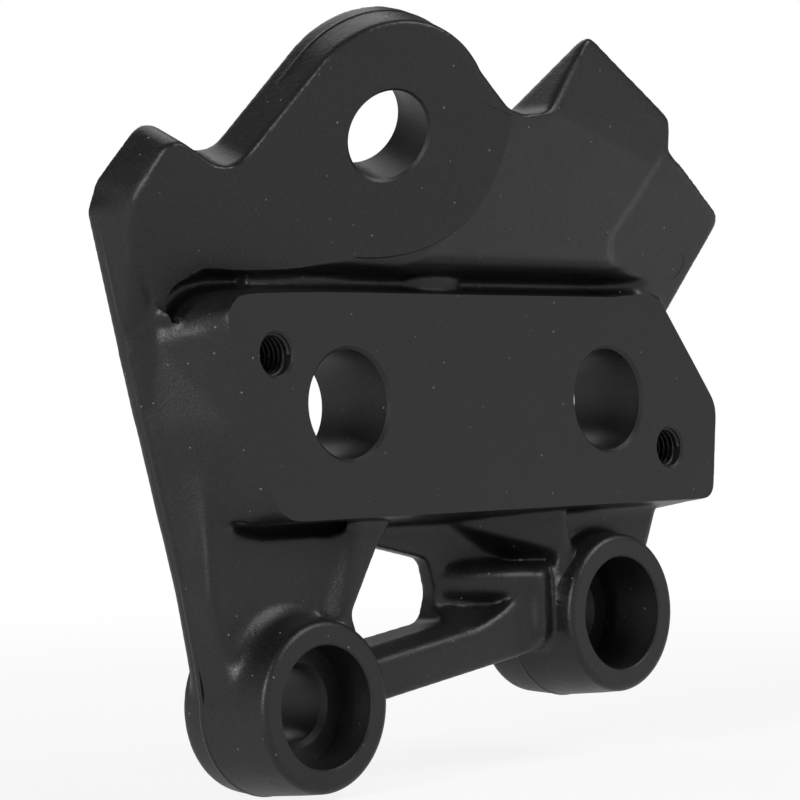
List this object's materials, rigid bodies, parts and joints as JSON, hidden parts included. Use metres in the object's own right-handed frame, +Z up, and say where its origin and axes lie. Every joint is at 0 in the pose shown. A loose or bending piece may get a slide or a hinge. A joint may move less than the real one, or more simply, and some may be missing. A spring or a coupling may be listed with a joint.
{
  "type": "motorcycle footrest hanger",
  "caption": "Compact forged hanger plate with a machined pad, a slanted mounting ear and a lower frame of flush bosses that carries a footrest.",
  "frame": {"origin": "on the machined pad face, half way between the pad's clearance holes", "axes": "+X along the pad towards the wing, +Y from the pad face back through the part, +Z up towards the ear"},
  "size_m": [0.1005, 0.0277, 0.0932],
  "materials": {
    "satin_black": "satin black over a fine forged grain"
  },
  "bodies": {
    "root": {"hanger": "satin_black"}
  },
  "joints": []
}
